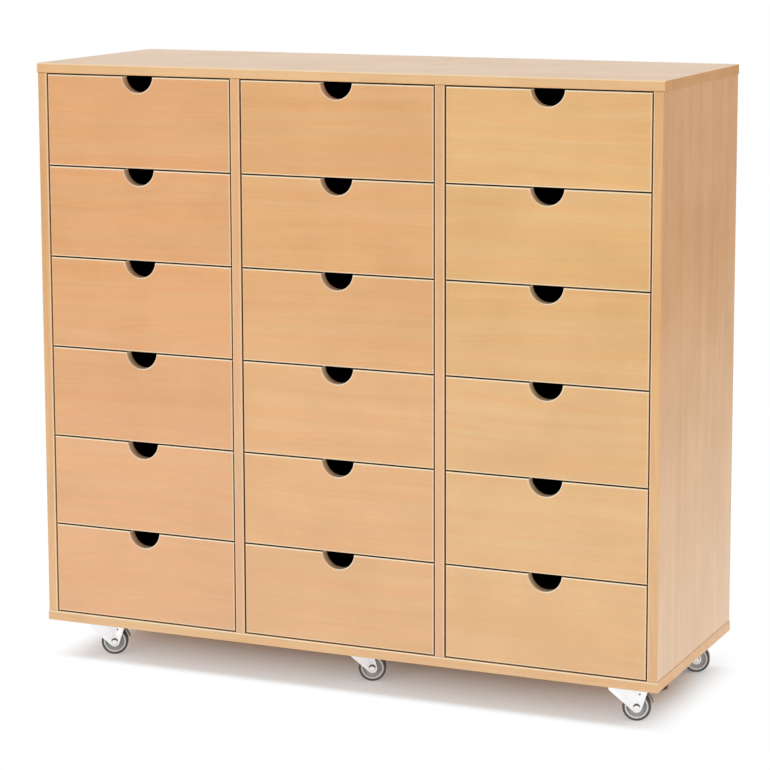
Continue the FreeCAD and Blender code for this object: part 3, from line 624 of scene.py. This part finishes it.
def charcoal_board():
    material, tree, shader, place = new_material("charcoal_board", IOR=1.45)
    speckle = even_noise(tree, place, speckle_scale, 2.0)
    mottle = even_noise(tree, place, mottle_scale, 3.0)
    level = calc(tree, "ADD", times(tree, ramp(tree, speckle, *speckle_band), speckle_share),
                 times(tree, spread(tree, mottle), mottle_share))
    colour = blend_colours(tree, level, *charcoal_tones)
    # Painted light on the faces that point up.
    upward = coordinate(tree, add(tree, "NewGeometry").outputs["Normal"], "Z")
    edge = times(tree, ramp(tree, upward, *upward_band), top_light_share)
    colour = blend_colours(tree, edge, colour, charcoal_top_light)
    worn = handled(tree, place, colour, charcoal_roughness, 1.0)
    set_surface(tree, shader, *worn, speckle, charcoal_bump, fine_relief)
    return material


box_finish = charcoal_board()
for column in columns:
    for row in rows:
        dress(f"{column}_drawer_{row}_box", box_finish)
print("finished", len(columns) * len(rows), "drawer boxes")

# %% [markdown]
# ## Zinc plate
# The casters' pressed parts are bright zinc plate: a metal whose reflection is broken up by a faint
# spangle, with smears that dull it a little. A second copy of the finish has a painted shadow above the
# height of the axles, for the faces round the bolts.

# %% Make the zinc plate
axle_height = joints["front_left_roll"]["pos_m"][2]
zinc_dark, zinc_bright, zinc_dull = srgb(244, 244, 245), srgb(252, 252, 252), srgb(205, 204, 200)
spangle_scale, spangle_roughness = 700.0, 0.04
smear_scale, smear_band, smear_amount = 60.0, (0.5, 0.8), 0.15
zinc_smooth, zinc_rough = 0.36, 0.46
zinc_bump, press_relief = 0.04, 0.0003
# A painted shadow over each bolt, in the dimple round it.
bolt_shadow_tone, dimple_shadow_below, dimple_shadow_above = srgb(106, 104, 100), 0.001, 0.003


def zinc_plate(name, dimple_shadow=None):
    """Bright plate. A painted shadow, where a colour is given for it, lies above the height of the axles.
    """
    material, tree, shader, place = new_material(name, Metallic=1.0)
    spangle = add(tree, "TexVoronoi", {"Vector": place, "Scale": spangle_scale}).outputs["Color"]
    grey = add(tree, "SeparateColor", {0: spangle}).outputs[0]
    smears = even_noise(tree, place, smear_scale, 3.0)
    colour = blend_colours(tree, grey, zinc_dark, zinc_bright)
    dull = times(tree, ramp(tree, smears, *smear_band), smear_amount)
    colour = blend_colours(tree, dull, colour, zinc_dull)
    # The painted shadow lies above the height of the axles.
    if dimple_shadow:
        high_up = ramp(tree, coordinate(tree, place, "Z"), axle_height - dimple_shadow_below,
                       axle_height + dimple_shadow_above)
        colour = blend_colours(tree, high_up, colour, dimple_shadow)
    roughness = calc(tree, "ADD", spread(tree, smears, zinc_smooth, zinc_rough),
                     times(tree, grey, spangle_roughness))
    set_surface(tree, shader, colour, roughness, smears, zinc_bump, press_relief)
    return material


zinc = zinc_plate("bright_zinc")
grimy_zinc = zinc_plate("grimy_zinc", bolt_shadow_tone)
for node in ("caster_plates", "carcase_fasteners"):
    dress(node, zinc)
print("plated the casters' plates and the fasteners")

# %% [markdown]
# ## Rubber, plastic and paint
# The wheels have a dark rubber tyre on a pale plastic rim, with a grey web inside it, and the brake
# pedals are painted. One function serves all four: a fine moulded texture under soft patches of tone.

# %% Make the moulded finishes
patch_scale = 45.0
# Each finish's pale and deep tones, its roughness, and the fineness and strength of its texture
moulded_finishes = {
    "tyre_rubber": (srgb(98, 97, 96), srgb(80, 79, 78), 0.62, 1500.0, 0.25),
    "rim_plastic": (srgb(244, 245, 246), srgb(232, 233, 234), 0.42, 2200.0, 0.08),
    "web_plastic": (srgb(190, 191, 191), srgb(170, 171, 172), 0.45, 2200.0, 0.08),
    "pedal_paint": (srgb(140, 128, 112), srgb(112, 101, 88), 0.4, 1800.0, 0.12)}


def moulded(name, pale, deep, roughness, texture_scale, bump_strength):
    material, tree, shader, place = new_material(name)
    texture = even_noise(tree, place, texture_scale, 3.0)
    patches = even_noise(tree, place, patch_scale, 3.0)
    colour = blend_colours(tree, spread(tree, patches), deep, pale)
    worn = handled(tree, place, colour, roughness, 1.0)
    set_surface(tree, shader, *worn, texture, bump_strength, press_relief)
    return material


tyre_rubber, rim_plastic, web_plastic, pedal_paint = (
    moulded(name, *values) for name, values in moulded_finishes.items())
print("made", len(moulded_finishes), "moulded finishes")

# %% [markdown]
# ## Wheels
# A caster wheel is made of turned shapes: a rubber tyre, a ring that carries it, and a thinner web with
# its hub. Each could be cut from a cylinder, but a lathe is closer to the real thing: draw half of the
# section, round its corners, and spin it about the axle. The wheel's size comes from the axle's height,
# because the wheel stands on the floor, and every wheel is turned as its fork is.

# %% Helpers for turned and pressed pieces
spin_steps = 72
corner_segments = 4
sharp_angle = math.radians(40.0)


def turned_shape(corners):
    """Spins a closed section about the Y axis. A corner is its radius, place along Y and rounding."""
    mesh = bmesh.new()
    points = [mesh.verts.new((radius, along, 0.0)) for radius, along, _ in corners]
    for start, end in zip(points, points[1:] + points[:1]):
        mesh.edges.new((start, end))
    for rounding in sorted({corner[2] for corner in corners if corner[2]}):
        rounded = [point for point, corner in zip(points, corners) if corner[2] == rounding]
        bmesh.ops.bevel(mesh, geom=rounded, offset=rounding, segments=corner_segments, profile=0.5,
                        affect="VERTICES", material=-1)
    bmesh.ops.spin(mesh, geom=mesh.edges[:], cent=(0, 0, 0), axis=(0, 1, 0), dvec=(0, 0, 0),
                   angle=2 * math.pi, steps=spin_steps, use_merge=True)
    bmesh.ops.recalc_face_normals(mesh, faces=mesh.faces[:])
    return mesh


def make_piece(mesh, name, material, body, node):
    """Turns a bmesh into a piece that rides on a body and stands for a solid node."""
    data = bpy.data.meshes.new(name)
    mesh.to_mesh(data)
    mesh.free()
    data.shade_smooth()
    data.set_sharp_from_angle(angle=sharp_angle)
    data.materials.append(material)
    piece = bpy.data.objects.new(name, data)
    bpy.context.scene.collection.objects.link(piece)
    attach(piece, body)
    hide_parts(node)
    return piece


def axle_frame(place):
    """Where a wheel's axle lies: the Y axis turned to the roll joint's axis, and moved to its point."""
    joint = joints[place + "_roll"]
    along = Vector(joint["axis"])
    return Matrix.Translation(joint["pos_m"]) @ Matrix.Rotation(math.atan2(-along.x, along.y), 4, "Z")


# %% [markdown]
# ## Wheel sections
# Each section is a list of corners, going round it. The tyre's outer corners have a large rounding, and
# the plastic's have a small one. The corners that meet another piece stay sharp, so that no gap shows.

# %% Turn the wheels
caster_places = [name[:-len("_roll")] for name in joints if name.endswith("_roll")]
wheel_radius = axle_height
tyre_inner, rim_inner, hub_radius, bore_radius = wheel_radius - 0.004, 0.0178, 0.008, 0.0031
tyre_half, rim_half, web_half, hub_half = 0.009, 0.0083, 0.0045, 0.010
shoulder, fine = 0.0024, 0.0005
wheel_sections = {
    "tyre": (tyre_rubber, [(tyre_inner, -tyre_half, 0), (wheel_radius, -tyre_half, shoulder),
                           (wheel_radius, tyre_half, shoulder), (tyre_inner, tyre_half, 0)]),
    "rim": (rim_plastic, [(rim_inner, -rim_half, fine), (tyre_inner, -rim_half, fine),
                          (tyre_inner, rim_half, fine), (rim_inner, rim_half, fine)]),
    "web": (web_plastic, [(bore_radius, -hub_half, fine), (hub_radius, -hub_half, fine),
                          (hub_radius, -web_half, fine), (rim_inner, -web_half, 0),
                          (rim_inner, web_half, 0), (hub_radius, web_half, fine),
                          (hub_radius, hub_half, fine), (bore_radius, hub_half, fine)])}
for place in caster_places:
    for part, (material, corners) in wheel_sections.items():
        mesh = turned_shape(corners)
        bmesh.ops.transform(mesh, matrix=axle_frame(place), verts=mesh.verts[:])
        make_piece(mesh, f"{place}_{part}", material, place + "_wheel", place + "_caster_wheel")
print("turned", len(caster_places), "wheels of", len(wheel_sections), "pieces each")

# %% [markdown]
# ## Softer edges
# Pressed steel has no knife edges: the press rounds them over. The solid nodes already have nearly the
# right shape, so a fork or a pedal is a copy of its node. Its loose triangles are merged, its flat faces
# are joined again, and its sharp edges get a small bevel.

# %% Helpers for pressed pieces
press_rounding, press_segments = 0.00035, 2
merge_distance = 1e-6
flat_angle = math.radians(1.0)


def merged_copy(node):
    """A copy of a solid node, with its triangles merged and its flat faces joined."""
    mesh = bmesh.new()
    mesh.from_mesh(nodes[node].data)
    bmesh.ops.remove_doubles(mesh, verts=mesh.verts[:], dist=merge_distance)
    bmesh.ops.dissolve_limit(mesh, angle_limit=flat_angle, verts=mesh.verts[:], edges=mesh.edges[:])
    return mesh


def soften(mesh):
    sharp = [edge for edge in mesh.edges if edge.is_manifold and edge.calc_face_angle() > sharp_angle]
    bmesh.ops.bevel(mesh, geom=sharp, offset=press_rounding, segments=press_segments, profile=0.5,
                    affect="EDGES", clamp_overlap=True, material=-1)


# %% [markdown]
# ## Forks
# On the real fork the leading edge starts a few millimetres higher up than on the solid one, so two
# planes cut it back, and each cut is filled again. Over the bolt in each leg's dimple a shadow is
# painted:
# the dimple's faces take a second material, found by how far they lie from the axle.

# %% Soften the forks
dimple_radius, dimple_rise, dimple_floor_y = 0.0065, 0.001, 0.0118
wall_slack, floor_slack = 0.0005, 0.0002
wall_across, floor_across = 0.6, 0.9
caster_trail = 0.024
nose_reach, nose_depth = 0.025, 0.0095
leg_end_radius = 0.009


def trim_nose(mesh, frame_here, crown_rise):
    """Cuts the fork's leading edge back, down a line that meets the round end of the leg."""
    nose = Vector((-(caster_trail + nose_reach), 0.0, crown_rise - nose_depth))
    angle = math.atan2(nose.z, nose.x) + math.acos(leg_end_radius / nose.length)
    slope = Vector((math.cos(angle), 0.0, math.sin(angle)))
    for point, outward in ((nose, Vector((-1.0, 0.0, 0.0))), (slope * leg_end_radius, slope)):
        facing_out = frame_here.to_3x3() @ outward
        whole = mesh.verts[:] + mesh.edges[:] + mesh.faces[:]
        cut = bmesh.ops.bisect_plane(mesh, geom=whole, dist=merge_distance, clear_outer=True,
                                     plane_co=frame_here @ point, plane_no=facing_out)
        rim = [part for part in cut["geom_cut"] if isinstance(part, bmesh.types.BMEdge)]
        for face in bmesh.ops.edgeloop_fill(mesh, edges=rim)["faces"]:
            face.normal_update()
            if face.normal.dot(facing_out) < 0:
                face.normal_flip()


def shade_dimple(mesh, frame_here):
    """Gives the floor and the wall of the dimple the second material, and counts them."""
    inverse = frame_here.inverted()
    centre = Vector((0.0, 0.0, dimple_rise))
    shadowed_faces = 0
    for face in mesh.faces:
        spot = inverse @ face.calc_center_median() - centre
        across = abs((inverse.to_3x3() @ face.normal).y)
        from_centre = math.hypot(spot.x, spot.z)
        at_floor = abs(abs(spot.y) - dimple_floor_y) < floor_slack
        on_wall = abs(from_centre - dimple_radius) < wall_slack and across < wall_across
        on_floor = from_centre < dimple_radius and at_floor and across > floor_across
        if on_wall or on_floor:
            face.material_index = 1
            shadowed_faces += 1
    return shadowed_faces


for place in caster_places:
    mesh = merged_copy(place + "_caster_fork")
    crown_rise = joints[place + "_swivel"]["pos_m"][2] - wheel_radius
    trim_nose(mesh, axle_frame(place), crown_rise)
    soften(mesh)
    shadowed_faces = shade_dimple(mesh, axle_frame(place))
    fork = make_piece(mesh, place + "_fork_shell", zinc, place + "_fork", place + "_caster_fork")
    fork.data.materials.append(grimy_zinc)
print("softened", len(caster_places), "forks, with", shadowed_faces, "painted_shadow faces on the last")

# %% [markdown]
# ## Brake pedals
# Only the two front corner casters have a brake. A pedal is one pressed piece, so softer edges are all
# that its copy needs.

# %% Soften the pedals
braked_places = [place for place in caster_places if place + "_brake_pedal" in nodes]
for place in braked_places:
    mesh = merged_copy(place + "_brake_pedal")
    soften(mesh)
    make_piece(mesh, place + "_pedal_shell", pedal_paint, place + "_pedal", place + "_brake_pedal")
print("softened", len(braked_places), "pedals")

# %% [markdown]
# ## Floor
# The floor is white, and it is the only thing that shows round the cabinet. A white floor could be had
# from stronger lamps, but those would bleach the wood. Here the floor is a plain diffuse surface under
# the cabinet, where it takes the soft shadow, and it turns into a flat white just outside the cabinet's
# footprint. The shadow is deepest towards the back, so the share of flat white grows towards the front.

# %% Lay the floor
floor_half = 80.0
floor_tone, white_tone = (0.93, 0.93, 0.93, 1.0), (1.0, 1.0, 1.0, 1.0)
shadow_left = (-0.62, -0.52)
shadow_right = (0.52, 0.63)
shadow_front = (-0.218, -0.178)
shadow_back = (0.16, 0.34)
front_share, deep_share = 0.42, 0.05


def lit_side(tree, position, edges):
    """One outside the shadow and nought inside it, with a soft change between the two edges."""
    made = add(tree, "MapRange", {"Value": position, "From Min": edges[0], "From Max": edges[1],
                                  "To Min": 1.0, "To Max": 0.0}, interpolation_type="SMOOTHSTEP")
    return made.outputs[0]


def seen_directly(tree):
    """One for rays from the camera, off a gloss or through glass, and nought for soft light."""
    rays = add(tree, "LightPath").outputs
    seen = calc(tree, "MAXIMUM", rays["Is Camera Ray"], rays["Is Glossy Ray"])
    return calc(tree, "MAXIMUM", seen, rays["Is Transmission Ray"])


def floor_material():
    material = bpy.data.materials.new("studio_floor")
    material.use_nodes = True
    tree = material.node_tree
    tree.nodes.clear()
    place = add(tree, "SeparateXYZ", {0: add(tree, "TexCoord").outputs["Object"]}).outputs
    shaded = calc(tree, "SUBTRACT", 1.0, lit_side(tree, place["X"], shadow_left))
    for axis, edges in (("X", shadow_right[::-1]), ("Y", shadow_front), ("Y", shadow_back[::-1])):
        shaded = times(tree, shaded, calc(tree, "SUBTRACT", 1.0, lit_side(tree, place[axis], edges)))
    share = ramp(tree, place["Y"], shadow_front[1], 0.0, front_share, deep_share)
    shadow = times(tree, shaded, calc(tree, "SUBTRACT", 1.0, share))
    whiteness = times(tree, calc(tree, "SUBTRACT", 1.0, shadow), seen_directly(tree))
    near_floor = add(tree, "BsdfDiffuse", {"Color": floor_tone}).outputs[0]
    white = add(tree, "Emission", {"Color": white_tone, "Strength": 1.0}).outputs[0]
    mixed = add(tree, "MixShader", {0: whiteness, 1: near_floor, 2: white})
    add(tree, "OutputMaterial", {0: mixed.outputs[0]})
    return material


mesh = bmesh.new()
bmesh.ops.create_grid(mesh, x_segments=1, y_segments=1, size=floor_half)
floor_data = bpy.data.meshes.new("studio_floor")
mesh.to_mesh(floor_data)
mesh.free()
floor_data.materials.append(floor_material())
floor = bpy.data.objects.new("studio_floor", floor_data)
bpy.context.scene.collection.objects.link(floor)
print("laid a floor of", 2 * floor_half, "metres")

# %% [markdown]
# ## Lamps
# The front is lit by a large soft lamp that hangs a little below the height of the cabinet's top, and
# also reaches into the finger notches. A second one stands low on the right. The light from above is a
# sun with a wide disc: its rays are nearly parallel, so the shadow on the floor is no larger than the
# cabinet.

# %% Hang the lamps
lamps = {
    "key_lamp": {"kind": "AREA", "place": (-1.4, -4.2, 0.9), "aim": (0.0, 0.0, 0.4), "energy": 35.0,
                 "shape": "SQUARE", "size": 2.0},
    "fill_lamp": {"kind": "AREA", "place": (4.0, -1.4, 0.2), "aim": (0.6, 0.0, 0.3), "energy": 30.0,
                  "shape": "SQUARE", "size": 1.2},
    "top_lamp": {"kind": "SUN", "place": (-0.2, 0.05, 4.5), "aim": (0.0, 0.0, 0.0), "energy": 1.0,
                 "angle": math.radians(4.0)}}


def hang_lamp(name, kind, place, aim, energy, **settings):
    data = bpy.data.lights.new(name, kind)
    data.energy = energy
    for key, value in settings.items():
        setattr(data, key, value)
    lamp = bpy.data.objects.new(name, data)
    lamp.location = place
    lamp.rotation_mode = "QUATERNION"
    lamp.rotation_quaternion = (Vector(aim) - Vector(place)).to_track_quat("-Z", "Y")
    bpy.context.scene.collection.objects.link(lamp)


for name, settings in lamps.items():
    hang_lamp(name, **settings)
print("hung", len(lamps), "lamps")

# %% [markdown]
# ## Sky
# The world is white where the camera sees it, as the paper behind a studio picture is. As a light it is
# dimmer, or it would wash out the soft shadows.

# %% Light the sky
soft_sky_strength = 0.6
world = bpy.data.worlds.new("studio_sky")
bpy.context.scene.world = world
world.use_nodes = True
sky = world.node_tree
sky.nodes.clear()
sky_light = ramp(sky, seen_directly(sky), 0.0, 1.0, soft_sky_strength, 1.0)
sky_background = add(sky, "Background", {"Color": white_tone, "Strength": sky_light}).outputs[0]
add(sky, "OutputWorld", {0: sky_background})
bpy.context.scene.view_settings.view_transform = "Standard"
print("sky holds", len(sky.nodes), "nodes")
